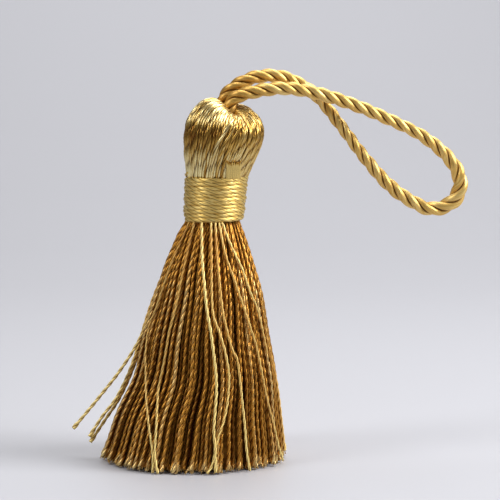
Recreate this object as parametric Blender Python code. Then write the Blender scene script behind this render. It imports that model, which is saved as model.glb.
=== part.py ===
"""A silk tassel with a twisted hanging loop, standing on its cut ends.

It has three pieces: the hank of thread, which is the head, the neck and the open skirt; the floss
wound round the neck; and the cord, whose two ends go down into the cleft on top of the head.
X points right, Y away from the front and Z up. The origin is on the floor, at the end of the
strand in the middle of the skirt. Sizes are in millimetres and turn to metres as a mesh is made.
"""

import math
import random
from collections import namedtuple

import bmesh
import bpy
from mathutils import Matrix, Vector
from mathutils.geometry import delaunay_2d_cdt

METRES = 0.001
SEED = 7
SHARP_ANGLE = math.radians(50.0)

# The neck, which carries the other sizes
NECK_RADIUS = 4.4
NECK_BOTTOM = 39.3
NECK_TOP = 46.8
NECK_LEAN_BOTTOM = 3.20
NECK_LEAN_TOP = 4.05
COLUMNS = 60

# The skirt: each strand runs through these levels, from its root down to its cut end
Level = namedtuple("Level", "height radius lean strand_radius spread")
SKIRT = [
    Level(height=38.9, radius=4.25, lean=3.20, strand_radius=0.19, spread=0.50),
    Level(height=35.0, radius=6.20, lean=2.90, strand_radius=0.30, spread=0.46),
    Level(height=27.0, radius=8.65, lean=2.65, strand_radius=0.40, spread=0.42),
    Level(height=14.0, radius=11.45, lean=2.00, strand_radius=0.47, spread=0.38),
    Level(height=0.0, radius=14.95, lean=0.00, strand_radius=0.50, spread=0.34),
]
STRANDS = 234
STRAND_SIDES = 3
PLATE_RADIUS = 5.0
GOLDEN_ANGLE = math.pi * (3.0 - math.sqrt(5.0))
UNEVEN = 0.10

# Threads that have come loose from the skirt. Each bearing is the turn from the front towards the
# right, in degrees, at the five skirt levels. The stand-off is how far the thread lies outside the
# others, and the tip is the height of its cut end.
Loose = namedtuple("Loose", "bearings stand_off tip")
LOOSE = [
    Loose(bearings=(-10, -9, -8, 0, 11), stand_off=(0.42, 0.75, 1.0, 1.0, 1.1), tip=0.0),
    Loose(bearings=(5, 7, 12, 19, 17), stand_off=(0.42, 0.75, 1.0, 1.0, 1.1), tip=0.0),
    Loose(bearings=(22, 26, 36, 50, 79), stand_off=(0.42, 0.75, 1.0, 1.0, 1.0), tip=0.4),
    Loose(bearings=(-60, -58, -55, -51, -27), stand_off=(0.42, 0.75, 1.0, 1.0, 1.1), tip=0.0),
    Loose(bearings=(-84, -85, -86, -87, -88), stand_off=(0.42, 0.7, 0.75, 0.85, 4.8), tip=5.0),
    Loose(bearings=(-100, -99, -97, -95, -94), stand_off=(0.42, 0.7, 0.75, 0.8, 2.1), tip=2.6),
]

# The head: half-sizes of each level along the cleft and across it, and its heights at the cleft's
# front and back ends and on the left and right lobes
Ring = namedtuple("Ring", "along across front back left right lean ridge")
HEAD = [
    Ring(along=4.95, across=4.95, front=47.2, back=47.2, left=47.2, right=47.2, lean=4.10, ridge=0.16),
    Ring(along=5.45, across=5.45, front=48.6, back=48.6, left=48.6, right=48.6, lean=4.35, ridge=0.38),
    Ring(along=6.10, across=6.10, front=50.4, back=50.4, left=50.4, right=50.4, lean=4.70, ridge=0.42),
    Ring(along=6.45, across=6.45, front=52.4, back=52.4, left=52.4, right=52.4, lean=5.10, ridge=0.42),
    Ring(along=6.40, across=6.50, front=53.9, back=54.1, left=54.2, right=54.1, lean=5.25, ridge=0.42),
    Ring(along=5.90, across=6.10, front=55.0, back=55.6, left=56.1, right=55.6, lean=5.25, ridge=0.38),
    Ring(along=5.20, across=5.20, front=55.7, back=56.6, left=57.8, right=57.0, lean=5.25, ridge=0.36),
    Ring(along=4.50, across=4.00, front=56.0, back=57.2, left=59.0, right=58.0, lean=5.25, ridge=0.30),
    Ring(along=4.10, across=2.75, front=56.1, back=57.3, left=59.4, right=58.4, lean=5.25, ridge=0.20),
    Ring(along=3.80, across=1.85, front=55.9, back=57.1, left=58.9, right=58.1, lean=5.25, ridge=0.00),
    Ring(along=3.60, across=1.55, front=55.6, back=56.5, left=56.5, right=56.5, lean=5.25, ridge=0.00),
]
CLEFT_ANGLE = math.radians(-60.0)
CLEFT_FLOOR = 56.5

# The floss wound round the neck, clear of the hank inside it
WRAP_TURNS = 11
WRAP_CLEARANCE = 0.35
WRAP_BOTTOM = 39.5
WRAP_TOP = 46.5
WRAP_RADIUS_BOTTOM = 5.02
WRAP_RADIUS_TOP = 5.25
WRAP_GROOVE = 0.16
WRAP_COLUMNS = 36

# The cord of the hanging loop
CORD_RADIUS = 1.1
CORD_PLIES = 3
CORD_PITCH = 7.5
CORD_GROOVE = 0.36
POINTS_A_PLY = 4
ROUTE_STEPS = 12

# The soft cord is drawn thin along its straight stretches and opens up round the bend
Girth = namedtuple("Girth", "share scale")
CORD_GIRTH = [
    Girth(share=0.00, scale=1.05),
    Girth(share=0.18, scale=1.00),
    Girth(share=0.33, scale=0.90),
    Girth(share=0.42, scale=1.03),
    Girth(share=0.48, scale=1.20),
    Girth(share=0.54, scale=1.04),
    Girth(share=0.60, scale=1.02),
    Girth(share=0.70, scale=0.87),
    Girth(share=0.79, scale=0.92),
    Girth(share=0.88, scale=1.03),
    Girth(share=1.00, scale=1.05),
]

# The cord's route, from the front of the cleft round the loop to the back of the cleft: x, y, z
CORD_ROUTE = [
    (5.8, -1.04, 56.8),
    (6.1, -1.05, 58.2),
    (6.9, -1.10, 59.3),
    (8.2, -1.15, 60.0),
    (9.9, -1.20, 60.4),
    (12.2, -1.25, 60.8),
    (14.6, -1.30, 61.0),
    (17.2, -1.35, 60.8),
    (19.8, -1.35, 60.3),
    (22.7, -1.10, 59.5),
    (25.7, -0.60, 58.5),
    (28.6, -0.20, 57.4),
    (31.6, 0.00, 56.1),
    (34.5, 0.10, 54.8),
    (37.2, 0.10, 53.4),
    (39.5, 0.10, 51.8),
    (41.4, 0.10, 50.1),
    (42.9, 0.00, 48.2),
    (43.7, 0.00, 46.2),
    (43.6, 0.00, 44.1),
    (42.5, 0.00, 42.4),
    (40.5, 0.00, 41.4),
    (38.2, 0.00, 41.4),
    (36.1, 0.00, 42.4),
    (33.7, 0.00, 43.9),
    (31.3, 0.10, 46.0),
    (29.2, 0.30, 48.4),
    (27.1, 0.50, 51.0),
    (25.2, 0.80, 53.6),
    (23.3, 1.10, 56.1),
    (21.5, 1.30, 58.4),
    (19.5, 1.35, 60.4),
    (17.2, 1.30, 61.8),
    (15.0, 1.25, 62.7),
    (12.5, 1.15, 63.0),
    (10.1, 1.10, 62.7),
    (7.9, 1.05, 61.8),
    (6.1, 1.04, 60.5),
    (5.0, 1.04, 58.9),
    (4.6, 1.04, 56.8),
]


def clear_scene():
    for old in list(bpy.data.objects):
        bpy.data.objects.remove(old, do_unlink=True)


def silk(name, hex_colour, roughness):
    """Dyed silky thread: a shiny fibre with no metal in it."""
    red, green, blue = (int(hex_colour[i : i + 2], 16) / 255.0 for i in (0, 2, 4))
    material = bpy.data.materials.new(name)
    material.use_nodes = True
    shader = material.node_tree.nodes["Principled BSDF"]
    linear = [((c + 0.055) / 1.055) ** 2.4 if c > 0.04045 else c / 12.92 for c in (red, green, blue)]
    shader.inputs["Base Color"].default_value = (*linear, 1.0)
    shader.inputs["Roughness"].default_value = roughness
    shader.inputs["Metallic"].default_value = 0.0
    shader.inputs["Sheen Weight"].default_value = 0.3
    return material


def finish(name, bm, material):
    """Turns the worked mesh into a named object in metres, smooth on its round sides."""
    bmesh.ops.transform(bm, matrix=Matrix.Scale(METRES, 4), verts=bm.verts)
    bmesh.ops.recalc_face_normals(bm, faces=bm.faces)
    mesh = bpy.data.meshes.new(name)
    bm.to_mesh(mesh)
    bm.free()
    mesh.materials.append(material)
    mesh.shade_smooth()
    mesh.set_sharp_from_angle(angle=SHARP_ANGLE)
    piece = bpy.data.objects.new(name, mesh)
    bpy.context.scene.collection.objects.link(piece)
    return piece


def join_rings(bm, lower, upper):
    """Walls between two closed rings of as many points."""
    count = len(lower)
    for i in range(count):
        j = (i + 1) % count
        bm.faces.new((lower[i], lower[j], upper[j], upper[i]))


def blend(low, high, share):
    return low + (high - low) * share


def ring_points(bm, height, radius, lean, columns):
    """A level round ring of points about the leaning middle line."""
    return [
        bm.verts.new((lean + radius * math.cos(turn), radius * math.sin(turn), height))
        for turn in (2.0 * math.pi * i / columns for i in range(columns))
    ]


def head_ring(bm, ring, columns):
    """One level of the head, drawn out along the cleft, higher on its two lobes than at its ends."""
    along = Vector((math.cos(CLEFT_ANGLE), math.sin(CLEFT_ANGLE)))
    across = Vector((-along.y, along.x))
    points = []
    for i in range(columns):
        turn = 2.0 * math.pi * i / columns - CLEFT_ANGLE
        side = math.sin(turn)
        ridge = ring.ridge * (0.5 if i % 2 else -0.5)
        flat = along * ((ring.along + ridge) * math.cos(turn)) + across * ((ring.across + ridge) * side)
        end = blend(ring.back, ring.front, 0.5 + 0.5 * math.cos(turn))
        lobe = blend(ring.left, ring.right, 0.5 + 0.5 * side)
        height = blend(end, lobe, side * side)
        points.append(bm.verts.new((ring.lean + flat.x, flat.y, height)))
    return points


def skirt_strands():
    """The middle of each strand at each level of the skirt, with its radius and its bearing."""
    chance = random.Random(SEED)
    strands = []
    for number in range(STRANDS):
        share = (number + 1) / STRANDS if number else 0.0
        turn = number * GOLDEN_ANGLE
        slip = chance.uniform(-UNEVEN, UNEVEN) if number else 0.0
        route = []
        for level in SKIRT:
            reach = level.radius * share**level.spread + slip * level.strand_radius
            middle = (level.lean + reach * math.cos(turn), reach * math.sin(turn), level.height)
            route.append((Vector(middle), level.strand_radius))
        strands.append((route, turn))
    for loose in LOOSE:
        route = []
        for level, bearing, stand_off in zip(SKIRT, loose.bearings, loose.stand_off):
            turn = math.radians(bearing - 90.0)
            reach = level.radius + stand_off
            height = blend(level.height, level.height + loose.tip, 1.0 - level.height / NECK_BOTTOM)
            middle = (level.lean + reach * math.cos(turn), reach * math.sin(turn), height)
            route.append((Vector(middle), level.strand_radius))
        strands.append((route, math.radians(loose.bearings[0] - 90.0)))
    return strands


def strand_corners(middle, radius, turn):
    step = 2.0 * math.pi / STRAND_SIDES
    return [
        middle + Vector((radius * math.cos(turn + i * step), radius * math.sin(turn + i * step), 0.0))
        for i in range(STRAND_SIDES)
    ]


def root_plate(bm, rim, strands):
    """The underside of the neck, with a three-cornered hole for the root of each strand."""
    flat = [rim_point.co.to_2d() for rim_point in rim]
    holes = []
    for route, turn in strands:
        middle, radius = route[0]
        corners = strand_corners(middle, radius, turn)
        holes.append([len(flat) + i for i in range(STRAND_SIDES)])
        flat.extend(corner.to_2d() for corner in corners)
    found, _, triangles, origins, _, owners = delaunay_2d_cdt(flat, [], holes, 0, 1e-6)
    points = list(rim)
    points.extend(bm.verts.new((*spot, SKIRT[0].height)) for spot in flat[len(rim) :])
    given = [points[sources[0]] for sources in origins]
    for triangle, owner in zip(triangles, owners):
        if not owner:
            bm.faces.new([given[i] for i in triangle])
    return [[points[i] for i in hole] for hole in holes]


def make_head_and_skirt(material):
    """The hank: root plate and strands below, neck inside the wrap, and the cleft head above."""
    bm = bmesh.new()
    strands = skirt_strands()
    rim = ring_points(bm, SKIRT[0].height, PLATE_RADIUS, NECK_LEAN_BOTTOM, COLUMNS)
    roots = root_plate(bm, rim, strands)
    for (route, turn), root in zip(strands, roots):
        ring = root
        for middle, radius in route[1:]:
            lower = [bm.verts.new(corner) for corner in strand_corners(middle, radius, turn)]
            join_rings(bm, ring, lower)
            ring = lower
        bm.faces.new(ring)
    ring = rim
    for height, lean in ((NECK_BOTTOM, NECK_LEAN_BOTTOM), (NECK_TOP, NECK_LEAN_TOP)):
        upper = ring_points(bm, height, NECK_RADIUS, lean, COLUMNS)
        join_rings(bm, ring, upper)
        ring = upper
    for level in HEAD:
        upper = head_ring(bm, level, COLUMNS)
        join_rings(bm, ring, upper)
        ring = upper
    floor = bm.verts.new((HEAD[-1].lean, 0.0, CLEFT_FLOOR))
    for i in range(COLUMNS):
        bm.faces.new((ring[i], ring[(i + 1) % COLUMNS], floor))
    return finish("head_and_skirt", bm, material)


def make_neck_wrap(material):
    """The wound floss: a ring round the neck with a raised ridge for each turn."""
    bm = bmesh.new()
    turn_height = (WRAP_TOP - WRAP_BOTTOM) / WRAP_TURNS
    inner = NECK_RADIUS + WRAP_CLEARANCE
    profile = [(inner, WRAP_BOTTOM)]
    for number in range(WRAP_TURNS):
        for part in (0.0, 0.5):
            share = (number + part) / WRAP_TURNS
            outer = blend(WRAP_RADIUS_BOTTOM, WRAP_RADIUS_TOP, share)
            radius = outer if part else outer - WRAP_GROOVE
            profile.append((radius, WRAP_BOTTOM + turn_height * (number + part)))
    profile.append((WRAP_RADIUS_TOP - WRAP_GROOVE, WRAP_TOP))
    profile.append((inner, WRAP_TOP))
    rings = []
    for radius, height in profile:
        share = (height - NECK_BOTTOM) / (NECK_TOP - NECK_BOTTOM)
        lean = blend(NECK_LEAN_BOTTOM, NECK_LEAN_TOP, share)
        rings.append(ring_points(bm, height, radius, lean, WRAP_COLUMNS))
    for lower, upper in zip(rings, rings[1:] + rings[:1]):
        join_rings(bm, lower, upper)
    return finish("neck_wrap", bm, material)


def smooth_route(points):
    """A Catmull-Rom curve through the points."""
    first = points[0] * 2.0 - points[1]
    last = points[-1] * 2.0 - points[-2]
    chain = [first, *points, last]
    curve = []
    for a, b, c, d in zip(chain, chain[1:], chain[2:], chain[3:]):
        for i in range(ROUTE_STEPS):
            t = i / ROUTE_STEPS
            curve.append(
                0.5
                * (
                    b * 2.0
                    + (c - a) * t
                    + (a * 2.0 - b * 5.0 + c * 4.0 - d) * t**2
                    + (b * 3.0 - a - c * 3.0 + d) * t**3
                )
            )
    curve.append(points[-1].copy())
    return curve


def even_steps(curve, step):
    """Points an equal way apart along the curve, from its first point to its last."""
    lengths = [(b - a).length for a, b in zip(curve, curve[1:])]
    total = sum(lengths)
    count = round(total / step)
    spots = []
    index = 0
    behind = 0.0
    for i in range(count + 1):
        wanted = total * i / count
        while index < len(lengths) - 1 and behind + lengths[index] < wanted:
            behind += lengths[index]
            index += 1
        spots.append(curve[index].lerp(curve[index + 1], (wanted - behind) / lengths[index]))
    return spots


def girth_at(share):
    """The cord's scale at a share of its length, on smooth steps between the rows of the table."""
    for low, high in zip(CORD_GIRTH, CORD_GIRTH[1:]):
        if share <= high.share:
            part = (share - low.share) / (high.share - low.share)
            return blend(low.scale, high.scale, part * part * (3.0 - 2.0 * part))
    return CORD_GIRTH[-1].scale


def make_hanging_loop(material):
    """The cord: three plies raised on one closed tube, their grooves one point further each ring."""
    sides = CORD_PLIES * POINTS_A_PLY
    curve = smooth_route([Vector(point) for point in CORD_ROUTE])
    spots = even_steps(curve, CORD_PITCH / sides)
    bm = bmesh.new()
    rings = []
    side_way = Vector((0.0, -1.0, 0.0))
    for i, spot in enumerate(spots):
        ahead = spots[min(i + 1, len(spots) - 1)] - spots[max(i - 1, 0)]
        ahead.normalize()
        side_way = (side_way - ahead * side_way.dot(ahead)).normalized()
        up_way = ahead.cross(side_way)
        girth = girth_at(i / (len(spots) - 1))
        ring = []
        for j in range(sides):
            turn = 2.0 * math.pi * j / sides
            in_groove = (j - i) % POINTS_A_PLY == 0
            radius = girth * (CORD_RADIUS - (CORD_GROOVE if in_groove else 0.0))
            offset = side_way * (radius * math.cos(turn)) + up_way * (radius * math.sin(turn))
            ring.append(bm.verts.new(spot + offset))
        rings.append(ring)
    for lower, upper in zip(rings, rings[1:]):
        for j in range(sides):
            k = (j + 1) % sides
            bm.faces.new((lower[j], lower[k], upper[k]))
            bm.faces.new((lower[j], upper[k], upper[j]))
    bm.faces.new(rings[0])
    bm.faces.new(rings[-1])
    return finish("hanging_loop", bm, material)


clear_scene()
make_head_and_skirt(silk("silky_thread", "B8862B", 0.38))
make_neck_wrap(silk("silky_floss", "CFA24A", 0.34))
make_hanging_loop(silk("silky_cord", "D9AE52", 0.34))
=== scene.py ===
import math

import bpy
import numpy as np
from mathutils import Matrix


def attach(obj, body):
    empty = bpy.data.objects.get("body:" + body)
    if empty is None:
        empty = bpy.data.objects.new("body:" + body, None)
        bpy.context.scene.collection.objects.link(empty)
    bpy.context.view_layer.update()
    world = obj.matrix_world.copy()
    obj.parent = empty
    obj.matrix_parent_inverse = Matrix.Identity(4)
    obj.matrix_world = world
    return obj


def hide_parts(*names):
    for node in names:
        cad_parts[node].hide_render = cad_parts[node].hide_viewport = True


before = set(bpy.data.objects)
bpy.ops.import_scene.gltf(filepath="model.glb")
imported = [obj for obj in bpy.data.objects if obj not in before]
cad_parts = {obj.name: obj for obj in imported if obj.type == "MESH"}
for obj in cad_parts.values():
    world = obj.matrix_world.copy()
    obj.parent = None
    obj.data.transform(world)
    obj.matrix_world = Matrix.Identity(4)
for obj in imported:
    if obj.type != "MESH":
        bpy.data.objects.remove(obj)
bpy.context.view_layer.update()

# The camera
# A long lens 360 mm away, at the height of the tassel's head, looks down at it by five degrees.
# Every size in this script is in millimetres, and becomes metres where an object is made.
MM = 0.001
VIEW_DISTANCE = 360.0
VIEW_PITCH = math.radians(5.4)
VIEW_CENTRE = (9.4, 0.0, 34.5)
SENSOR_WIDTH = 36.0
LENS = 158.0
NEAREST_IN_VIEW = 10.0

camera = bpy.data.objects.new("camera", bpy.data.cameras.new("camera"))
camera.data.sensor_width = SENSOR_WIDTH
camera.data.lens = LENS
camera.data.clip_start = NEAREST_IN_VIEW * MM
camera.location = (
    VIEW_CENTRE[0] * MM,
    (VIEW_CENTRE[1] - VIEW_DISTANCE * math.cos(VIEW_PITCH)) * MM,
    (VIEW_CENTRE[2] + VIEW_DISTANCE * math.sin(VIEW_PITCH)) * MM,
)
camera.rotation_euler = (math.pi / 2 - VIEW_PITCH, 0.0, 0.0)
bpy.context.scene.collection.objects.link(camera)
bpy.context.scene.camera = camera


# The hanging cord
# A soft three-ply cord of untwisted shiny floss, laid up with a Z twist. It is bent into a loop
# and both its ends go down into the cleft on top of the head, where the hank is folded over it.
CORD_PLIES = 3
PLY_OFFSET = 0.57
PLY_RADIUS = 0.56
PLY_POINTS = 22
PLY_BUNDLES = 7
BUNDLE_RISE = 0.012
BUNDLE_DRIFT = 0.06
CORD_STEP = 0.30
FRONTWARDS = np.array([0.0, -1.0, 0.0])

# From the front of the cleft, round the loop and down into the back of the cleft: x, y, z
CORD_ROUTE = [
    (5.8, -1.04, 56.8),
    (6.1, -1.05, 58.2),
    (6.9, -1.10, 59.3),
    (8.2, -1.15, 60.0),
    (9.9, -1.20, 60.4),
    (12.2, -1.25, 60.8),
    (14.6, -1.30, 61.0),
    (17.2, -1.35, 60.8),
    (19.8, -1.35, 60.3),
    (22.7, -1.10, 59.5),
    (25.7, -0.60, 58.5),
    (28.6, -0.20, 57.4),
    (31.6, 0.00, 56.1),
    (34.5, 0.10, 54.8),
    (37.2, 0.10, 53.4),
    (39.5, 0.10, 51.8),
    (41.4, 0.10, 50.1),
    (42.9, 0.00, 48.2),
    (43.7, 0.00, 46.2),
    (43.6, 0.00, 44.1),
    (42.5, 0.00, 42.4),
    (40.5, 0.00, 41.4),
    (38.2, 0.00, 41.4),
    (36.1, 0.00, 42.4),
    (33.7, 0.00, 43.9),
    (31.3, 0.10, 46.0),
    (29.2, 0.30, 48.4),
    (27.1, 0.50, 51.0),
    (25.2, 0.80, 53.6),
    (23.3, 1.10, 56.1),
    (21.5, 1.30, 58.4),
    (19.5, 1.35, 60.4),
    (17.2, 1.30, 61.8),
    (15.0, 1.25, 62.7),
    (12.5, 1.15, 63.0),
    (10.1, 1.10, 62.7),
    (7.9, 1.05, 61.8),
    (6.1, 1.04, 60.5),
    (5.0, 1.04, 58.9),
    (4.6, 1.04, 56.8),
]

# How thick the cord is drawn, and how far one turn of its twist runs, at shares of its length
CORD_GIRTH = [(0.0, 1.05), (0.18, 1.0), (0.33, 0.9), (0.42, 1.03), (0.48, 1.2), (0.54, 1.04),
              (0.6, 1.02), (0.7, 0.87), (0.79, 0.92), (0.88, 1.03), (1.0, 1.05)]
CORD_PITCH = [(0.0, 7.2), (0.3, 7.6), (0.45, 8.0), (0.52, 8.2), (0.6, 7.8), (0.8, 7.6), (1.0, 7.2)]

# How pale each ply is, and how much deeper at some x, where it comes out of the cleft that shades it
PLY_TONES = (0.45, 0.5, 0.55)
CLEFT_SHADE = [(4.0, -0.4), (9.0, -0.15), (14.0, 0.0)]

# A smooth curve has this many parts between two given points
CURVE_PARTS = 12


def smooth_line(points, step):
    """A smooth curve through given points, as points an even step apart."""
    points = np.asarray(points, float)
    chain = np.vstack([2 * points[0] - points[1], points, 2 * points[-1] - points[-2]])
    t = np.linspace(0.0, 1.0, CURVE_PARTS, endpoint=False)[:, None]
    a, b, c, d = (chain[i : len(chain) - 3 + i, None] for i in range(4))
    bend = 2 * b + (c - a) * t + (2 * a - 5 * b + 4 * c - d) * t**2 + (3 * b - a - 3 * c + d) * t**3
    curve = np.vstack([0.5 * bend.reshape(-1, points.shape[1]), points[-1]])
    along = np.r_[0.0, np.cumsum(np.linalg.norm(np.diff(curve, axis=0), axis=1))]
    wanted = np.linspace(0.0, along[-1], max(3, round(along[-1] / step) + 1))
    return np.stack([np.interp(wanted, along, column) for column in curve.T], axis=1)


def directions(line, side):
    """The two ways square to a line at each of its points, the first of them the nearest to side."""
    ahead = np.gradient(line, axis=0)
    ahead /= np.linalg.norm(ahead, axis=1, keepdims=True)
    across = side - ahead * np.sum(ahead * side, axis=1, keepdims=True)
    across /= np.linalg.norm(across, axis=1, keepdims=True)
    return across, np.cross(ahead, across)


def wind(line, side, spin, reach, angles):
    """A tube round a line: rings of points at these reaches and angles, each ring turned by its spin."""
    across, over = directions(line, side)
    turn = angles + np.asarray(spin)[:, None]
    return (
        line[:, None]
        + (reach * np.cos(turn))[..., None] * across[:, None]
        + (reach * np.sin(turn))[..., None] * over[:, None]
    )


def make_piece(name, tubes, tones, material):
    """One object from many closed tubes. Its map runs once round each tube, and along it in mm.

    The tone of a tube, or of each point of it, is how pale its thread is drawn; in many pieces it also
    holds painted light and shade.
    """
    points, corners, sizes, maps, shades = [], [], [], [], []
    first = 0
    for tube, tone in zip(tubes, tones):
        rings, sides = tube.shape[:2]
        middle = tube.mean(axis=1)
        along = np.r_[0.0, np.cumsum(np.linalg.norm(np.diff(middle, axis=0), axis=1))]
        ring, spot = np.meshgrid(np.arange(rings - 1), np.arange(sides), indexing="ij")
        here, next_ring = ring * sides, (ring + 1) * sides
        onward = (spot + 1) % sides
        quads = np.stack([here + spot, here + onward, next_ring + onward, next_ring + spot], axis=-1)
        quads = quads.reshape(-1, 4)
        round_map = np.stack([spot, spot + 1, spot + 1, spot], axis=-1).reshape(-1, 4) / sides
        along_map = along[np.stack([ring, ring, ring + 1, ring + 1], axis=-1).reshape(-1, 4)]
        points.append(tube.reshape(-1, 3))
        corners.append(quads.ravel() + first)
        sizes.append(np.full(len(quads), 4))
        maps.append(np.stack([round_map.ravel(), along_map.ravel()], axis=1))
        for end, order in ((0, -1), (rings - 1, 1)):
            corners.append((np.arange(sides)[::order] + end * sides) + first)
            sizes.append(np.array([sides]))
            maps.append(np.stack([np.zeros(sides), np.full(sides, along[end])], axis=1))
        shades.append(np.broadcast_to(tone, (rings, sides)).ravel())
        first += rings * sides
    points, corners, sizes, maps, shades = (
        np.concatenate(part) for part in (points, corners, sizes, maps, shades)
    )
    starts = np.r_[0, np.cumsum(sizes)[:-1]]
    mesh = bpy.data.meshes.new(name)
    mesh.vertices.add(len(points))
    mesh.vertices.foreach_set("co", (points * MM).astype(np.float32).ravel())
    mesh.loops.add(len(corners))
    mesh.loops.foreach_set("vertex_index", corners.astype(np.int32))
    mesh.polygons.add(len(sizes))
    mesh.polygons.foreach_set("loop_start", starts.astype(np.int32))
    mesh.polygons.foreach_set("use_smooth", sizes == 4)
    mesh.update(calc_edges=True)
    mesh.uv_layers.new(name="thread").data.foreach_set("uv", maps.astype(np.float32).ravel())
    mesh.attributes.new("tone", "FLOAT", "POINT").data.foreach_set("value", shades.astype(np.float32))
    mesh.materials.append(material)
    piece = bpy.data.objects.new(name, mesh)
    bpy.context.scene.collection.objects.link(piece)
    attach(piece, "root")
    return piece


def dye(hex_colour):
    """An sRGB hex colour as linear light."""
    parts = (int(hex_colour[i : i + 2], 16) / 255.0 for i in (1, 3, 5))
    return (*((c / 12.92 if c <= 0.04045 else ((c + 0.055) / 1.055) ** 2.4) for c in parts), 1.0)


def add_node(tree, kind, inputs=None, **settings):
    """Adds a node with its settings. Its inputs are values, or the sockets that feed them."""
    node = tree.nodes.new(kind)
    for name, value in settings.items():
        setattr(node, name, value)
    for name, value in (inputs or {}).items():
        if isinstance(value, bpy.types.NodeSocket):
            tree.links.new(value, node.inputs[name])
        else:
            node.inputs[name].default_value = value
    return node


# Where the three colours lie from dark to pale, how far apart threads of unlike tone are in the
# pattern, how deep a crease is pressed in, and how much of that the filaments rise
DEEP_AT, MIDDLE_AT, PALE_AT = 0.22, 0.46, 0.76
STREAK_SHIFT = 40.0
CREASE_DEPTH = 0.03
FILAMENT_SHARE = 0.35


def bright_rayon(
    name, deep, middle, pale, crease, filaments, roughness, metallic, plies=2, crease_reach=(0.0, 0.6)
):
    """Bright viscose rayon, which is sold as art silk, as parallel filaments that run along a ply.

    Smooth solid-dyed filaments give narrow highlights that stay the colour of the dye, so some
    metallic stands for the light that comes back out of them. The filaments are 0.02 mm and are
    drawn about four times as coarse. They spread the highlight round the ply, not along it.
    Light that goes into the crease between two plies meets dyed fibre many times, so the crease
    is drawn in a deeper colour, a painted shade: it lies where a ply's side has turned this far from its
    crown.
    """
    material = bpy.data.materials.new(name)
    material.use_nodes = True
    tree = material.node_tree
    shader = tree.nodes["Principled BSDF"]
    spot = add_node(tree, "ShaderNodeUVMap", uv_map="thread")
    tone = add_node(tree, "ShaderNodeAttribute", attribute_name="tone")
    part = add_node(tree, "ShaderNodeSeparateXYZ", {"Vector": spot.outputs["UV"]})
    round_way = add_node(
        tree, "ShaderNodeMath", {0: part.outputs["X"], 1: filaments}, operation="MULTIPLY"
    )
    shift = add_node(
        tree, "ShaderNodeMath", {0: tone.outputs["Fac"], 1: STREAK_SHIFT}, operation="MULTIPLY"
    )
    place = add_node(
        tree,
        "ShaderNodeCombineXYZ",
        {"X": round_way.outputs[0], "Y": part.outputs["Y"], "Z": shift.outputs[0]},
    )
    streaks = add_node(
        tree,
        "ShaderNodeTexNoise",
        {"Vector": place.outputs[0], "Scale": 0.8, "Detail": 2.0, "Roughness": 0.6},
    )
    mixed = add_node(
        tree, "ShaderNodeMath", {0: streaks.outputs["Fac"], 1: tone.outputs["Fac"]}, operation="ADD"
    )
    halved = add_node(tree, "ShaderNodeMath", {0: mixed.outputs[0], 1: 0.5}, operation="MULTIPLY")
    ramp = add_node(tree, "ShaderNodeValToRGB", {"Fac": halved.outputs[0]})
    ramp.color_ramp.elements[0].position = DEEP_AT
    ramp.color_ramp.elements[0].color = dye(deep)
    ramp.color_ramp.elements[1].position = PALE_AT
    ramp.color_ramp.elements[1].color = dye(pale)
    ramp.color_ramp.elements.new(MIDDLE_AT).color = dye(middle)
    # The crease between the plies gets the crease colour: a painted shade
    turn = add_node(
        tree, "ShaderNodeMath", {0: part.outputs["X"], 1: math.pi * plies}, operation="MULTIPLY"
    )
    wave = add_node(tree, "ShaderNodeMath", {0: turn.outputs[0]}, operation="COSINE")
    rise = add_node(tree, "ShaderNodeMath", {0: wave.outputs[0]}, operation="ABSOLUTE")
    crown = add_node(
        tree,
        "ShaderNodeMapRange",
        {"Value": rise.outputs[0], "From Min": crease_reach[0], "From Max": crease_reach[1]},
        interpolation_type="SMOOTHSTEP",
    )
    colour = add_node(
        tree,
        "ShaderNodeMixRGB",
        {"Fac": crown.outputs[0], "Color1": dye(crease), "Color2": ramp.outputs["Color"]},
    )
    low = add_node(
        tree, "ShaderNodeMath", {0: streaks.outputs["Fac"], 1: FILAMENT_SHARE}, operation="MULTIPLY"
    )
    height = add_node(tree, "ShaderNodeMath", {0: crown.outputs[0], 1: low.outputs[0]}, operation="ADD")
    bump = add_node(
        tree,
        "ShaderNodeBump",
        {"Height": height.outputs[0], "Strength": 1.0, "Distance": CREASE_DEPTH * MM},
    )
    round_tangent = add_node(tree, "ShaderNodeTangent", direction_type="UV_MAP", uv_map="thread")
    tree.links.new(colour.outputs["Color"], shader.inputs["Base Color"])
    tree.links.new(bump.outputs["Normal"], shader.inputs["Normal"])
    tree.links.new(round_tangent.outputs["Tangent"], shader.inputs["Tangent"])
    shader.inputs["Roughness"].default_value = roughness
    shader.inputs["Metallic"].default_value = metallic
    shader.inputs["IOR"].default_value = 1.53
    shader.inputs["Anisotropic"].default_value = 0.65
    return material


chance = np.random.default_rng(11)
cord_line = smooth_line(CORD_ROUTE, CORD_STEP)
cord_share = np.linspace(0.0, 1.0, len(cord_line))
cord_girth = np.interp(cord_share, *zip(*CORD_GIRTH))
cord_spin = np.cumsum(2 * math.pi * CORD_STEP / np.interp(cord_share, *zip(*CORD_PITCH)))
cord_across, cord_over = directions(cord_line, FRONTWARDS)
ply_angles = np.linspace(0.0, 2 * math.pi, PLY_POINTS, endpoint=False)
plies = []
for ply in range(CORD_PLIES):
    lean = cord_spin + 2 * math.pi * ply / CORD_PLIES
    outward = np.cos(lean)[:, None] * cord_across + np.sin(lean)[:, None] * cord_over
    ply_line = cord_line + outward * (PLY_OFFSET * cord_girth)[:, None]
    drift = np.cumsum(chance.normal(0.0, BUNDLE_DRIFT, len(cord_line)))
    bundles = 1.0 + BUNDLE_RISE * np.cos(PLY_BUNDLES * ply_angles + drift[:, None])
    reach = PLY_RADIUS * cord_girth[:, None] * bundles
    plies.append(wind(ply_line, FRONTWARDS, lean, reach, ply_angles))
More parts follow.
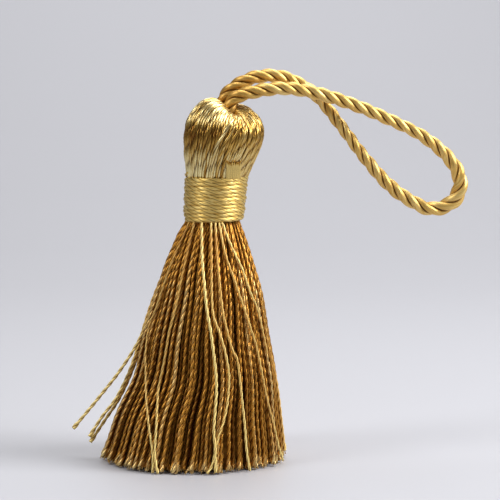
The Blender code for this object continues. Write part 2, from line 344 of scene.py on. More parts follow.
cord_rayon = bright_rayon(
    "rayon_cord",
    deep="#A27028",
    middle="#D8AE58",
    pale="#F6E2A0",
    crease="#6C380C",
    filaments=26.0,
    roughness=0.42,
    metallic=0.6,
    plies=1,
    crease_reach=(0.59, 0.82),
)
cleft_shade = np.interp(cord_line[:, :1], *zip(*CLEFT_SHADE))
cord_tones = [tone + cleft_shade for tone in PLY_TONES]
hanging_cord = make_piece("hanging_cord", plies, cord_tones, cord_rayon)
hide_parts("hanging_loop")


# The head
# The hank of two-ply thread is folded over the cord, so its threads come up out of the cleft,
# go over the two lobes and down to the neck. More threads of the same hank lie under them.
THREAD_DIAMETER = 0.66
THREAD_STEP = 0.25
HEAD_THREADS = 80
UNDER_THREADS = 72
HEAD_OVERLAP = 1.1
HEAD_MIDDLE = (5.0, 0.0, 52.5)
CLEFT_ANGLE = math.radians(-60.0)

# One turn of the twist: over the head the threads are pulled tight, which draws it out longer
THREAD_PITCH = 3.0
HEAD_PITCH = 5.6

# The front threads slant, by so many radians on their way down. Round the head, in radians, the
# count starts at a seam this far before the cleft's end and the slant is most at the peak. Then
# how soon it dies away on both sides, and how much single threads differ
FRONT_SLANT = 0.16
SLANT_SEAM = 0.9
SLANT_PEAK = 1.35
SLANT_SPREAD = 0.35
OWN_SLANT = 0.02

# How much paler the threads are drawn at some heights, a painted light and shade: paler at the top,
# which faces the overhead light, and low down, which faces the lit floor, and darkest in a band where
# the head is fullest and faces the dim room. Less of that is kept towards the right, which is turned
# to the strongest light: x, share
HEAD_LIGHT_AND_SHADE = [(46.0, 0.46), (48.0, 0.38), (50.4, 0.10), (52.0, -0.22), (53.6, -0.42), (54.8, -0.24),
                 (55.9, 0.10), (58.5, 0.12)]
PALENESS_KEPT = [(4.5, 1.0), (9.0, 0.35)]
OWN_PALENESS = (0.14, 0.38)
HEAD_TONE_GAIN = 0.9

# Half-sizes along and across the cleft, heights at the cleft's front and back ends and on its left
# and right lobes, sideways lean of the middle, and how thick a thread is drawn there
HEAD_LEVELS = [
    (2.40, 0.40, 54.8, 55.6, 55.4, 55.4, 5.25, 0.75),
    (3.10, 1.05, 56.1, 56.9, 57.9, 57.2, 5.25, 0.80),
    (3.75, 1.65, 56.7, 57.4, 59.0, 58.2, 5.25, 0.86),
    (4.35, 2.60, 56.7, 57.5, 59.4, 58.4, 5.25, 0.92),
    (4.95, 3.90, 56.4, 57.2, 59.0, 58.0, 5.25, 1.00),
    (5.60, 5.20, 55.7, 56.5, 57.7, 56.9, 5.25, 1.05),
    (6.12, 6.10, 54.9, 55.4, 56.0, 55.5, 5.25, 1.08),
    (6.40, 6.45, 53.6, 54.0, 54.2, 54.0, 5.20, 1.08),
    (6.40, 6.40, 52.4, 52.4, 52.4, 52.4, 5.05, 1.06),
    (6.05, 6.05, 50.4, 50.4, 50.4, 50.4, 4.70, 1.00),
    (5.56, 5.56, 48.6, 48.6, 48.6, 48.6, 4.38, 0.94),
    (5.20, 5.20, 47.3, 47.3, 47.3, 47.3, 4.20, 0.90),
    (4.96, 4.96, 46.6, 46.6, 46.6, 46.6, 4.12, 0.86),
    (4.50, 4.50, 45.8, 45.8, 45.8, 45.8, 4.05, 0.80),
]

# How much of its depth under the outside a thread still has in its height, at shares of its way
# down, and how near to the line of the cleft a thread may come
SINK_KEPT = [(0.0, 1.0), (0.35, 1.0), (0.6, 0.0)]
LEAST_ACROSS = 0.2

# The section of a thread: two round plies that press together. Angle, share of the half diameter
PLY_SECTION = [(0, 1.0), (30, 0.94), (60, 0.79), (90, 0.64), (120, 0.79), (150, 0.94)]
SLACK_SECTION = [(0, 1.0), (30, 0.95), (60, 0.84), (90, 0.74), (120, 0.84), (150, 0.95)]
PLAIN_SECTION = [(0, 1.0), (60, 0.8), (120, 0.8)]


def twisted_thread(line, side, thickness, start_spin, section=PLY_SECTION, pitch=THREAD_PITCH):
    """One two-ply thread along a line, as a tube whose two plies wind round it."""
    half = np.array(section)
    angles = np.radians(np.r_[half[:, 0], half[:, 0] + 180.0])
    reach = 0.5 * THREAD_DIAMETER * np.r_[half[:, 1], half[:, 1]]
    step = np.linalg.norm(np.diff(line, axis=0), axis=1).mean()
    spin = start_spin + 2 * math.pi * step * np.arange(len(line)) / pitch
    return wind(line, side, spin, reach * np.reshape(thickness, (-1, 1)), angles)


def head_line(turn, sink, slant):
    """Where a thread of the head runs: this far round from the cleft, this deep under the outside."""
    along, across, front, back, left, right, lean, thickness = np.array(HEAD_LEVELS).T
    share = np.linspace(0.0, 1.0, len(along))
    cos = np.cos(turn + slant * share)
    sin = np.sin(turn + slant * share)
    over = (along - sink) * cos
    out = np.maximum(across - sink, LEAST_ACROSS) * sin
    end = back + (front - back) * (0.5 + 0.5 * cos)
    lobe = right + (left - right) * (0.5 - 0.5 * sin)
    height = end + (lobe - end) * sin**2
    drop = sink * np.interp(share, *zip(*SINK_KEPT))
    x = lean + over * math.cos(CLEFT_ANGLE) - out * math.sin(CLEFT_ANGLE)
    y = over * math.sin(CLEFT_ANGLE) + out * math.cos(CLEFT_ANGLE)
    return np.stack([x, y, height - drop], axis=1), thickness


def head_threads(count, sink, wander, seed, section):
    """A layer of threads round the head, from the cleft down into the binding.

    The outward side of each thread is drawn paler than its flanks, which shade one another.
    """
    dice = np.random.default_rng(seed)
    tubes = []
    tones = []
    for number in range(count):
        turn = 2 * math.pi * (number + dice.uniform(-0.1, 0.1)) / count
        off_peak = (turn + SLANT_SEAM) % (2 * math.pi) - SLANT_PEAK
        slant = dice.normal(0.0, OWN_SLANT) - FRONT_SLANT * math.exp(-(off_peak**2) / SLANT_SPREAD)
        knots, thickness = head_line(turn, sink + dice.uniform(-wander, wander), slant)
        line = smooth_line(knots, THREAD_STEP)
        girth = np.interp(np.linspace(0, 1, len(line)), np.linspace(0, 1, len(knots)), thickness)
        bearing = turn + CLEFT_ANGLE
        side = np.array([-math.sin(bearing), math.cos(bearing), 0.0])
        spin = dice.uniform(0, math.pi)
        tube = twisted_thread(line, side, girth * HEAD_OVERLAP, spin, section, HEAD_PITCH)
        reach = np.linalg.norm(line - HEAD_MIDDLE, axis=1)[:, None]
        outward = np.linalg.norm(tube - HEAD_MIDDLE, axis=2) - reach
        # Painted light and shade by height, less of it towards the right, on top of each thread's own
        # tone
        kept = np.interp(tube[..., 0], *zip(*PALENESS_KEPT))
        paleness_with_painted_light = dice.uniform(*OWN_PALENESS) + kept * np.interp(tube[..., 2], *zip(*HEAD_LIGHT_AND_SHADE))
        tubes.append(tube)
        tones.append(paleness_with_painted_light + HEAD_TONE_GAIN * outward)
    return tubes, tones


thread_rayon = bright_rayon(
    "rayon_thread",
    deep="#7C460A",
    middle="#C29A48",
    pale="#FBEEB4",
    crease="#4E2A04",
    filaments=9.0,
    roughness=0.34,
    metallic=0.85,
)
outer_tubes, outer_tones = head_threads(
    HEAD_THREADS, sink=0.28, wander=0.06, seed=21, section=PLY_SECTION
)
head_outer = make_piece("head_threads", outer_tubes, outer_tones, thread_rayon)
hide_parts("head_and_skirt")
under_tubes, under_tones = head_threads(
    UNDER_THREADS, sink=0.62, wander=0.08, seed=22, section=PLAIN_SECTION
)
head_under = make_piece("head_under_threads", under_tubes, under_tones, thread_rayon)
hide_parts("head_and_skirt")

# The outside of the front of the head, from the binding up to the lip of the cleft: height, radius
# and lean of the middle
HEAD_FRONT = [(front, along, lean) for along, _, front, _, _, _, lean, _ in HEAD_LEVELS[:4:-1]]
HEAD_FRONT += [(56.3, 4.95, 5.25)]

# A few threads that slipped as the hank was folded, and cross the others from the notch between
# the lobes down to the left. Each row gives the x and the height of a thread at some places.
SLIPPED_THREADS = [
    [(6.7, 56.1), (6.3, 55.5), (5.8, 54.8), (5.1, 53.6), (4.3, 52.3), (3.8, 51.0), (3.5, 49.3),
     (3.3, 47.3), (3.3, 46.0)],
    [(7.2, 56.0), (6.9, 55.3), (6.5, 54.4), (5.9, 53.2), (5.2, 51.8), (4.6, 50.2), (4.2, 48.3),
     (4.1, 46.0)],
    [(7.9, 55.9), (7.7, 55.0), (7.2, 53.8), (6.5, 52.4), (5.8, 50.8), (5.2, 49.0), (4.9, 47.4),
     (4.8, 46.0)],
    [(3.3, 56.2), (3.0, 54.8), (2.9, 53.0), (2.5, 51.0), (2.4, 49.0), (2.2, 47.3), (2.2, 46.0)],
]
SLIPPED_THICKNESS = 0.95
SLIPPED_PALENESS = [0.7, 0.45, 0.35, 0.25]
# The first lies this far above the outside of the head, and each next one this much deeper
SLIPPED_LIFT = 0.02
SLIPPED_DEEPER = 0.06
SLIPPED_SPIN = 0.7
RIGHTWARDS = np.array([1.0, 0.0, 0.0])


def on_head_front(knots, lift):
    """Given places in front of the head, laid on it this far above its outside."""
    x, height = np.array(knots, float).T
    heights, radii, leans = np.array(HEAD_FRONT).T
    reach = np.interp(height, heights, radii) + lift
    across = x - np.interp(height, heights, leans)
    return np.stack([x, -np.sqrt(np.maximum(reach**2 - across**2, 0.0)), height], axis=1)


slipped_tubes = []
for number, knots in enumerate(SLIPPED_THREADS):
    line = smooth_line(on_head_front(knots, SLIPPED_LIFT - SLIPPED_DEEPER * number), THREAD_STEP)
    spin = SLIPPED_SPIN * number
    slipped_tubes.append(
        twisted_thread(line, RIGHTWARDS, SLIPPED_THICKNESS, spin, PLY_SECTION, HEAD_PITCH)
    )
slipped = make_piece("slipped_threads", slipped_tubes, SLIPPED_PALENESS, thread_rayon)
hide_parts("head_and_skirt")

# The middle of the hank, packed threads that fill the head and go on down through the neck
CORE_SINK = 1.05
CORE_RINGS = 44
CORE_SIDES = 48
CORE_STEP = 0.3
CORE_NECK = (-0.8, 0.0, -7.7)
CORE_TONE = 0.1
core_share = np.linspace(0.0, 1.0, CORE_RINGS)
core_columns = []
for turn in np.linspace(0.0, 2 * math.pi, CORE_SIDES, endpoint=False):
    line = smooth_line(head_line(turn, CORE_SINK, 0.0)[0], CORE_STEP)
    own_share = np.linspace(0.0, 1.0, len(line))
    core_columns.append(np.stack([np.interp(core_share, own_share, way) for way in line.T], axis=1))
core_grid = np.stack(core_columns, axis=1)
neck_end = core_grid[-1] + CORE_NECK
core_grid = np.concatenate([core_grid, neck_end[None]], axis=0)[::-1]
hank_core = make_piece("hank_core", [core_grid], [CORE_TONE], thread_rayon)
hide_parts("head_and_skirt")


# The skirt
# The same threads below the binding: they hang open, spread out where they stand on their cut
# ends, and touch the floor level. Every thread keeps its place from the neck to the floor.
SKIRT_THREADS = 440
SKIRT_PIECES = 5
GOLDEN_ANGLE = math.pi * (3.0 - math.sqrt(5.0))
OUTER_SHARE = 0.7
OUTER_STEP = 0.3
INNER_STEP = 1.2

# Height, outside radius, lean of the middle, and how the threads crowd outwards
SKIRT_LEVELS = [
    (40.2, 4.55, 3.30, 0.50),
    (38.9, 4.80, 3.20, 0.50),
    (37.2, 5.65, 3.00, 0.48),
    (35.0, 6.50, 2.90, 0.46),
    (31.5, 7.75, 2.72, 0.44),
    (27.0, 9.05, 2.65, 0.42),
    (20.5, 10.50, 2.20, 0.40),
    (14.0, 11.90, 2.00, 0.38),
    (8.0, 13.65, 0.85, 0.36),
    (3.5, 14.75, 0.40, 0.35),
    (0.0, 15.40, 0.00, 0.34),
]
SKIRT_ROOT = SKIRT_LEVELS[0][0]

# How thick a thread is drawn at some heights, from its opened end up to its root in the binding,
# and how much threads differ
SKIRT_THICKNESS = [(0.0, 1.5), (0.6, 1.3), (2.2, 1.0), (33.0, 1.0), (38.0, 0.82), (40.0, 0.78)]
OWN_THICKNESS = (0.92, 1.06)

# How far a thread sways, and the locks that threads are drawn into: how many go round the skirt,
# where they start and how strong they are
SKIRT_SWAY = 0.18
LOCKS = [(13.0, 0.5, 0.034), (29.0, 2.0, 0.018)]
LOCKS_TOP = 34.0

# How pale the outside is, and how fast that falls with depth, a painted shade between the threads;
# how much it differs at some heights, a painted light at the cut ends and a painted shade under the
# binding; and how much from thread to thread
SKIRT_TONE = 0.58
SKIRT_SHADE_GAIN = 0.5
SKIRT_LIGHT_AND_SHADE = [(0.0, 0.46), (2.6, 0.04), (9.0, -0.02), (28.0, 0.02), (37.0, -0.26)]
SKIRT_OWN_TONE = 0.08

# At its cut end each outer thread opens into finer bundles of filaments, which have lost their
# twist. Here are the heights of the outer and inner threads' ends, and of the bundles' two ends
CUT_HEIGHTS = (0.12, 0.8)
INNER_CUT_HEIGHT = 0.15
FRAYS = 5
FRAY_TOPS = (1.2, 2.6)
FRAY_FEET = (0.1, 0.7)
FRAY_SPREAD = 0.3
FRAY_BEND = 0.15
FRAY_STEP = 0.35
FRAY_PITCH = 40.0
FRAY_THICKNESS = 0.32
FRAY_TONES = (0.55, 1.0)
FRAY_SECTION = [(0, 1.0), (90, 0.8)]

skirt_rows = np.array(SKIRT_LEVELS)


def skirt_point(rows, share, turn, sway):
    """Where a thread lies at each level: its share of the radius, its bearing and its own sway."""
    radius = (rows[:, 1] - 0.5 * THREAD_DIAMETER) * share ** rows[:, 3]
    return np.stack(
        [
            rows[:, 2] + radius * np.cos(turn) + sway[:, 0],
            radius * np.sin(turn) + sway[:, 1],
            rows[:, 0],
        ],
        axis=1,
    )


def own_sway(dice, rows, amount):
    """A thread's own slow bends, none at its root and most at its end."""
    down = 1.0 - rows[:, 0] / SKIRT_ROOT
    swing = dice.normal(0.0, amount, (2, 2))
    phase = dice.uniform(0.0, 2 * math.pi, (2, 2))
    slow = swing[:, :1] * np.sin(2.2 * down + phase[:, :1])
    quick = 0.5 * swing[:, 1:] * np.sin(7.0 * down + phase[:, 1:])
    return ((slow + quick) * np.clip(down * 2.0, 0.0, 1.0)).T


def locks(turn, rows):
    """How far round a thread is drawn into its lock, more and more towards the floor."""
    down = np.clip(1.0 - rows[:, 0] / LOCKS_TOP, 0.0, 1.0)
    return down * sum(strength * math.sin(number * turn + start) for number, start, strength in LOCKS)


def skirt_tone(tube):
    """Painted light and shade: paler on the outside of the skirt and at the cut ends, darker in between
    the threads and under the binding.
    """
    x, y, z = np.moveaxis(tube, -1, 0)
    heights, radii, leans, _ = skirt_rows[::-1].T
    reach = np.hypot(x - np.interp(z, heights, leans), y)
    proud = reach - np.interp(z, heights, radii)
    # Darker the deeper a point lies under the skirt's outside: a painted shade
    shade_by_depth = np.clip(SKIRT_TONE + SKIRT_SHADE_GAIN * proud, 0.0, 1.0)
    return shade_by_depth + np.interp(z, *zip(*SKIRT_LIGHT_AND_SHADE))


# The same thread as the head's, drawn deeper and more orange: a painted shade of the light that passes
# from thread to thread in the open skirt
skirt_rayon = bright_rayon(
    "rayon_skirt_thread",
    deep="#7E5214",
    middle="#CC9036",
    pale="#FCE4A0",
    crease="#5E2A00",
    filaments=9.0,
    roughness=0.4,
    metallic=0.8,
)
skirt_dice = np.random.default_rng(31)
skirt_tubes = [[] for _ in range(SKIRT_PIECES)]
skirt_tones = [[] for _ in range(SKIRT_PIECES)]
fray_dice = np.random.default_rng(32)
fray_tubes = []
for number in range(SKIRT_THREADS):
    share = (number + 1) / SKIRT_THREADS if number else 0.0
    turn = number * GOLDEN_ANGLE
    outer = share > OUTER_SHARE
    sway = own_sway(skirt_dice, skirt_rows, SKIRT_SWAY)
    line = skirt_point(skirt_rows, share, turn + locks(turn, skirt_rows), sway)
    line[-1, 2] = skirt_dice.uniform(*CUT_HEIGHTS) if outer else INNER_CUT_HEIGHT
    line = smooth_line(line, OUTER_STEP if outer else INNER_STEP)
    side = np.array([-math.sin(turn), math.cos(turn), 0.0])
    tube = twisted_thread(
        line,
        side,
        np.interp(line[:, 2], *zip(*SKIRT_THICKNESS)) * skirt_dice.uniform(*OWN_THICKNESS),
        skirt_dice.uniform(0, math.pi),
        SLACK_SECTION if outer else PLAIN_SECTION,
    )
    for _ in range(FRAYS if outer else 0):
        start = line[line[:, 2] > fray_dice.uniform(*FRAY_TOPS)][-1]
        spread = fray_dice.normal(0.0, FRAY_SPREAD, 2)
        foot = np.array([*(line[-1, :2] + spread), fray_dice.uniform(*FRAY_FEET)])
        half_way = 0.5 * (start + foot) + np.array([*(FRAY_BEND * spread), 0.0])
        fray = smooth_line([start, half_way, foot], FRAY_STEP)
        fray_tubes.append(twisted_thread(fray, side, FRAY_THICKNESS, 0.0, FRAY_SECTION, FRAY_PITCH))
    group = number % SKIRT_PIECES
    skirt_tubes[group].append(tube)
    skirt_tones[group].append(skirt_tone(tube) + skirt_dice.normal(0.0, SKIRT_OWN_TONE))

# The middle of the skirt, packed threads drawn in the darkest tone, a painted shade that shows only as
# dark depth between the outer ones
INSIDE_SHARE = 0.8
INSIDE_SIDES = 48
INSIDE_FOOT = 0.3
inside_turns = np.linspace(0.0, 2 * math.pi, INSIDE_SIDES, endpoint=False)[None, :]
inside_rows = skirt_rows[1:].copy()
inside_rows[-1, 0] = INSIDE_FOOT
inside_reach = INSIDE_SHARE * inside_rows[:, 1:2]
skirt_inside = np.stack(
    [
        inside_rows[:, 2:3] + inside_reach * np.cos(inside_turns),
        inside_reach * np.sin(inside_turns),
        np.broadcast_to(inside_rows[:, 0:1], (len(inside_rows), INSIDE_SIDES)),
    ],
    axis=-1,
)
inside = make_piece("skirt_inside", [skirt_inside[::-1]], [0.0], skirt_rayon)
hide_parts("head_and_skirt")
fray_tones = fray_dice.uniform(*FRAY_TONES, len(fray_tubes))
frays = make_piece("cut_ends", fray_tubes, fray_tones, skirt_rayon)
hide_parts("head_and_skirt")
for group in range(SKIRT_PIECES):
    name = f"skirt_threads_{group + 1}"
    skirt = make_piece(name, skirt_tubes[group], skirt_tones[group], skirt_rayon)
    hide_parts("head_and_skirt")


# The loose threads of the skirt
# A few threads have worked out of the skirt: seven cross the front of it, where they catch the
# light. Three stand out at the left and one at the right, with their cut ends off the floor.
# Each row gives the x and the height of a thread at some places. It lies on the skirt's outside.
FRONT_THREADS = [
    [(1.6, 39.4), (1.7, 34.0), (2.1, 29.6), (2.5, 25.8), (3.1, 22.5), (3.6, 18.9), (3.95, 15.8),
     (4.05, 12.9), (3.85, 9.9), (3.65, 7.0), (3.85, 4.5), (3.95, 0.5)],
    [(3.1, 39.4), (3.2, 34.0), (3.4, 25.8), (4.4, 22.5), (5.3, 19.6), (5.95, 16.4), (6.05, 14.1),
     (5.75, 10.8), (5.1, 8.0), (4.3, 5.8), (3.9, 3.9), (3.4, 1.6), (2.6, 0.3)],
    [(4.9, 39.4), (5.7, 37.2), (6.9, 34.5), (8.15, 31.9), (9.35, 28.4), (10.5, 25.6), (11.3, 22.4),
     (12.2, 18.0)],
    [(4.4, 39.4), (5.4, 34.5), (7.2, 29.4), (9.6, 22.2), (10.35, 19.8), (11.2, 15.8), (12.1, 11.2),
     (13.0, 7.6), (14.0, 3.2), (14.8, 0.4)],
    [(3.8, 39.4), (4.2, 33.0), (5.0, 25.8), (5.65, 22.7), (6.5, 19.6), (7.3, 17.9), (7.7, 15.4),
     (8.15, 11.2), (8.55, 7.5), (8.9, 3.2), (9.4, 0.2)],
    [(0.4, 39.4), (-1.2, 32.5), (-2.6, 25.8), (-3.6, 22.0), (-4.1, 19.0), (-4.6, 16.4), (-5.1, 14.1),
     (-5.35, 12.4), (-5.55, 7.5), (-5.75, 3.2), (-5.25, 0.2)],
    [(-0.4, 39.4), (-3.4, 32.5), (-5.7, 25.8), (-7.0, 22.5), (-7.5, 18.3), (-7.45, 15.8), (-7.25, 11.2),
     (-6.7, 7.0), (-6.1, 3.2), (-6.1, 0.2)],
]
# These stand out at the sides, each given by its x, y and height at some places
SIDE_THREADS = [
    [(-1.0, -1.2, 38.6), (-2.8, -1.6, 34.5), (-5.2, -1.4, 29.2), (-8.2, -1.0, 21.0),
     (-11.6, -0.6, 15.2), (-15.6, -0.3, 10.0), (-19.8, 0.0, 4.9)],
    [(-1.2, 1.0, 38.6), (-3.6, 1.0, 33.2), (-6.6, 1.2, 25.4), (-9.4, 1.0, 16.2), (-12.0, 0.6, 10.2),
     (-14.6, 0.3, 6.2), (-17.0, 0.0, 2.6)],
    [(-1.0, 0.4, 38.6), (-3.7, 0.4, 33.2), (-6.9, 0.6, 25.4), (-9.8, 0.4, 16.2), (-12.4, 0.0, 10.4),
     (-15.0, -0.3, 6.9), (-17.1, -0.5, 3.6)],
    [(6.4, 0.2, 38.6), (9.2, 0.2, 32.0), (11.2, 0.2, 24.5), (12.7, 0.1, 17.6), (13.8, 0.0, 12.2),
     (14.6, 0.0, 5.7), (15.1, 0.0, 1.2)],
]
# The first of those in front, which shows most, stands further off the skirt and is thicker. Those
# at the sides open at their cut ends: shares of the length, and how thick they are drawn there
STAND_OFF = [0.4] + [0.15] * 6
FRONT_THICKNESS = [0.74] + [0.64] * 6
SIDE_THICKNESS = [(0.0, 0.9), (0.95, 0.9), (1.0, 1.3)]

# How much paler than the skirt each of them is at some heights, where it stands out into the light
LOOSE_PALENESS = [
    [(0.0, 0.3), (5.0, 0.0), (12.0, 0.2), (18.0, 0.55), (33.0, 0.6), (36.0, 0.2), (39.4, 0.3)],
    [(0.0, 0.35), (4.0, 0.1), (10.0, 0.05), (18.0, 0.1), (24.0, -0.05), (37.0, -0.1), (39.4, 0.35)],
    [(20.0, -0.1), (26.0, 0.1), (32.0, 0.35), (39.4, 0.45)],
    [(0.0, 0.35), (4.0, 0.1), (8.0, -0.05), (34.0, -0.05), (39.4, 0.3)],
    [(0.0, 0.3), (12.0, 0.2), (17.0, -0.1), (37.0, -0.15), (39.4, 0.35)],
    [(0.0, 0.35), (8.0, 0.15), (14.0, -0.1), (37.0, -0.2), (39.4, 0.2)],
    [(0.0, 0.3), (6.0, 0.15), (12.0, -0.1), (39.4, -0.1)],
    [(0.0, 0.15), (38.0, 0.0)],
    [(0.0, 0.15), (38.0, 0.0)],
    [(0.0, 0.1), (38.0, -0.1)],
    [(0.0, 0.1), (38.0, -0.1)],
]

loose_tubes = []
heights, radii, leans, _ = skirt_rows[::-1].T
for knots, stand_off, thickness in zip(FRONT_THREADS, STAND_OFF, FRONT_THICKNESS):
    x, height = np.array(knots).T
    radius = np.interp(height, heights, radii) + stand_off
    lean = np.interp(height, heights, leans)
    depth = -np.sqrt(np.maximum(radius**2 - (x - lean) ** 2, 0.0))
    line = smooth_line(np.stack([x, depth, height], axis=1), THREAD_STEP)
    loose_tubes.append(twisted_thread(line, RIGHTWARDS, thickness, skirt_dice.uniform(0, math.pi)))
for knots in SIDE_THREADS:
    line = smooth_line(knots, THREAD_STEP)
    thickness = np.interp(np.linspace(0, 1, len(line)), *zip(*SIDE_THICKNESS))
    loose_tubes.append(twisted_thread(line, -FRONTWARDS, thickness, skirt_dice.uniform(0, math.pi)))
loose_tones = [
    skirt_tone(tube) + np.interp(tube[..., 2], *zip(*paleness_with_painted_light))
    for tube, paleness_with_painted_light in zip(loose_tubes, LOOSE_PALENESS)
]
# The same thread drawn paler, with a lighter crease: painted light on the threads that stand out of the
# skirt into the light
loose_rayon = bright_rayon(
    "rayon_loose_thread",
    deep="#98580E",
    middle="#DAA44A",
    pale="#FFE48E",
    crease="#8A5414",
    filaments=9.0,
    roughness=0.45,
    metallic=0.3,
)
loose = make_piece("loose_threads", loose_tubes, loose_tones, loose_rayon)
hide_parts("head_and_skirt")


# The neck binding
# Shiny flat floss is wound tightly round the neck, eleven turns side by side from the bottom
# up. Its filaments are only slightly twisted, so each turn lies nearly flat, and they wander.
WRAP_TURNS = 11
WRAP_BOTTOM = 39.45
WRAP_TOP = 47.05
WRAP_INSET = 0.3
WRAP_RADIUS = 4.56
WRAP_WIDENING = 0.24
WRAP_STEPS = 140
WRAP_START = math.radians(200.0)
FLOSS_THICKNESS = 1.42
FLOSS_PITCH = 6.1
FLOSS_TONE = 0.55
NECK_LEAN_BOTTOM = 3.43
NECK_LEAN_TOP = 3.95

# How the turns wander outwards and up: how far, how many waves a radian, and where they start
WANDER_OUT = [(0.05, 0.37, 1.0), (0.03, 1.71, 0.0)]
WANDER_UP = [(0.05, 1.13, 0.0), (0.05, 0.41, 2.0)]

# Over the last stretch, in radians, the floss thins and rises, to where it is tucked in
END_TURN = 0.8
END_THINNING = 0.7
END_OUT = 0.28
END_UP = 0.5

wrap_count = WRAP_TURNS * WRAP_STEPS + 1
wrap_turn = np.linspace(0.0, 2 * math.pi * WRAP_TURNS, wrap_count) + WRAP_START
wrap_rise = np.linspace(0.0, 1.0, wrap_count)
wrap_end = np.clip((wrap_turn - wrap_turn[-1]) / END_TURN + 1.0, 0.0, 1.0) ** 2
wrap_radius = WRAP_RADIUS + WRAP_WIDENING * wrap_rise + END_OUT * wrap_end
wrap_radius += sum(far * np.sin(wrap_turn * waves + start) for far, waves, start in WANDER_OUT)
wrap_height = WRAP_BOTTOM + WRAP_INSET + (WRAP_TOP - WRAP_BOTTOM - 2 * WRAP_INSET) * wrap_rise
wrap_height += END_UP * wrap_end
wrap_height += sum(far * np.sin(wrap_turn * waves + start) for far, waves, start in WANDER_UP)
wrap_lean = np.interp(wrap_height, [WRAP_BOTTOM, WRAP_TOP], [NECK_LEAN_BOTTOM, NECK_LEAN_TOP])
wrap_line = np.stack(
    [wrap_lean + wrap_radius * np.cos(wrap_turn), wrap_radius * np.sin(wrap_turn), wrap_height], axis=1
)
floss_rayon = bright_rayon(
    "rayon_floss",
    deep="#A87C2C",
    middle="#DCB860",
    pale="#FAE8A0",
    crease="#7A5218",
    filaments=10.0,
    roughness=0.5,
    metallic=0.7,
    plies=4,
    crease_reach=(0.0, 0.5),
)
FLAT_SECTION = [(0, 1.0), (45, 0.96), (90, 0.91), (135, 0.96)]
UPWARDS = np.array([0.0, 0.0, 1.0])
floss_girth = FLOSS_THICKNESS * (1.0 - END_THINNING * wrap_end)
floss_tube = twisted_thread(wrap_line, UPWARDS, floss_girth, 0.0, FLAT_SECTION, FLOSS_PITCH)
floss = make_piece("neck_floss", [floss_tube], [FLOSS_TONE], floss_rayon)
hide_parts("neck_wrap")


# The tail of the floss
# It is tucked back under the last turns and comes out above them at the right of the front, as a
# short flat bundle of the same floss, cut to a ragged end whose very tips are drawn dark, a painted
# shade.
TAIL_FILAMENTS = 15
TAIL_WIDTH = 2.1
TAIL_LEFT = 5.7
TAIL_BOTTOM = 45.9
TAIL_TOP = 49.2
TAIL_RAGGED = (-0.4, 0.25)
TAIL_STRAY = 0.03
TAIL_KNOTS = 6
TAIL_LIFT = 0.2
TAIL_STEP = 0.2
TAIL_THICKNESS = 0.36
TAIL_PITCH = 40.0
# How pale it is at these distances below each tip, dark at the tip as a painted shade
TAIL_TONE_AND_TIP_SHADE = [(0.1, -0.4), (0.45, 0.7)]
tail_dice = np.random.default_rng(51)
tail_tubes = []
tail_tones = []
for start in np.linspace(TAIL_LEFT, TAIL_LEFT + TAIL_WIDTH, TAIL_FILAMENTS):
    top = TAIL_TOP + tail_dice.uniform(*TAIL_RAGGED)
    knots = [
        (start + tail_dice.uniform(-TAIL_STRAY, TAIL_STRAY), height)
        for height in np.linspace(TAIL_BOTTOM, top, TAIL_KNOTS)
    ]
    line = smooth_line(on_head_front(knots, TAIL_LIFT), TAIL_STEP)
    tube = twisted_thread(line, RIGHTWARDS, TAIL_THICKNESS, 0.0, PLAIN_SECTION, TAIL_PITCH)
    tail_tubes.append(tube)
    # Dark at the very tips: a painted shade
    tail_tones.append(np.interp(top - tube[..., 2], *zip(*TAIL_TONE_AND_TIP_SHADE)))
tail = make_piece("floss_tail", tail_tubes, tail_tones, floss_rayon)
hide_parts("neck_wrap")


# The floor and the light
# A plain pale sweep of painted board under plain soft light, in a dim room: one light overhead,
# one on the board behind, a weak one at the left and the strongest at the right.
FLOOR_NEAR = 1600.0
FLOOR_FAR = 250.0
FLOOR_HALF_WIDTH = 1600.0
SWEEP_RADIUS = 700.0
SWEEP_HEIGHT = 1000.0
SWEEP_PARTS = 16
BOARD_COLOUR = "#A2A2A7"
BOARD_ROUGHNESS = 0.5
ROOM_COLOUR = "#DADCE2"
ROOM_STRENGTH = 0.13

# Name, place, what it points at, width and length, power in watts
LIGHTS = [
    ("overhead_light", (60.0, 140.0, 560.0), (0.0, 40.0, 0.0), (380.0, 380.0), 2.8),
    ("back_light", (0.0, 560.0, 420.0), (0.0, 560.0, 0.0), (600.0, 240.0), 1.6),
    ("left_light", (-330.0, -190.0, 330.0), (5.0, 0.0, 30.0), (150.0, 280.0), 1.15),
    ("right_light", (365.0, -80.0, 330.0), (5.0, 0.0, 30.0), (240.0, 300.0), 3.2),
]

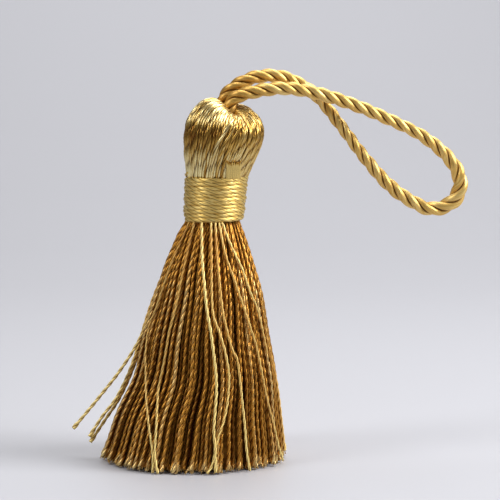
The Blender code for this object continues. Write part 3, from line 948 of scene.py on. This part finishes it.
bend = np.linspace(0.0, math.pi / 2, SWEEP_PARTS)
profile = [(-FLOOR_NEAR, 0.0)]
profile += [(FLOOR_FAR + SWEEP_RADIUS * math.sin(a), SWEEP_RADIUS * (1 - math.cos(a))) for a in bend]
profile += [(FLOOR_FAR + SWEEP_RADIUS, SWEEP_HEIGHT)]
sweep_points = [
    (x * MM, y * MM, z * MM) for y, z in profile for x in (-FLOOR_HALF_WIDTH, FLOOR_HALF_WIDTH)
]
sweep_faces = [(2 * i, 2 * i + 1, 2 * i + 3, 2 * i + 2) for i in range(len(profile) - 1)]
sweep_mesh = bpy.data.meshes.new("floor")
sweep_mesh.from_pydata(sweep_points, [], sweep_faces)
sweep_mesh.shade_smooth()
floor = bpy.data.objects.new("floor", sweep_mesh)
bpy.context.scene.collection.objects.link(floor)
floor_paint = bpy.data.materials.new("pale_board")
floor_paint.use_nodes = True
floor_shader = floor_paint.node_tree.nodes["Principled BSDF"]
floor_shader.inputs["Base Color"].default_value = dye(BOARD_COLOUR)
floor_shader.inputs["Roughness"].default_value = BOARD_ROUGHNESS
sweep_mesh.materials.append(floor_paint)


def soft_light(name, place, target, size, power):
    """A soft white light of this size that points at a place."""
    data = bpy.data.lights.new(name, "AREA")
    data.shape = "RECTANGLE"
    data.size, data.size_y = (side * MM for side in size)
    data.energy = power
    lamp = bpy.data.objects.new(name, data)
    lamp.location = [c * MM for c in place]
    aim = [t - p for t, p in zip(target, place)]
    lamp.rotation_euler = (
        math.atan2(math.hypot(aim[0], aim[1]), -aim[2]),
        0.0,
        math.atan2(aim[0], -aim[1]) + math.pi,
    )
    bpy.context.scene.collection.objects.link(lamp)


for light in LIGHTS:
    soft_light(*light)

world = bpy.data.worlds.new("dim_room")
world.use_nodes = True
world.node_tree.nodes["Background"].inputs["Color"].default_value = dye(ROOM_COLOUR)
world.node_tree.nodes["Background"].inputs["Strength"].default_value = ROOM_STRENGTH
bpy.context.scene.world = world
bpy.context.scene.view_settings.view_transform = "Standard"
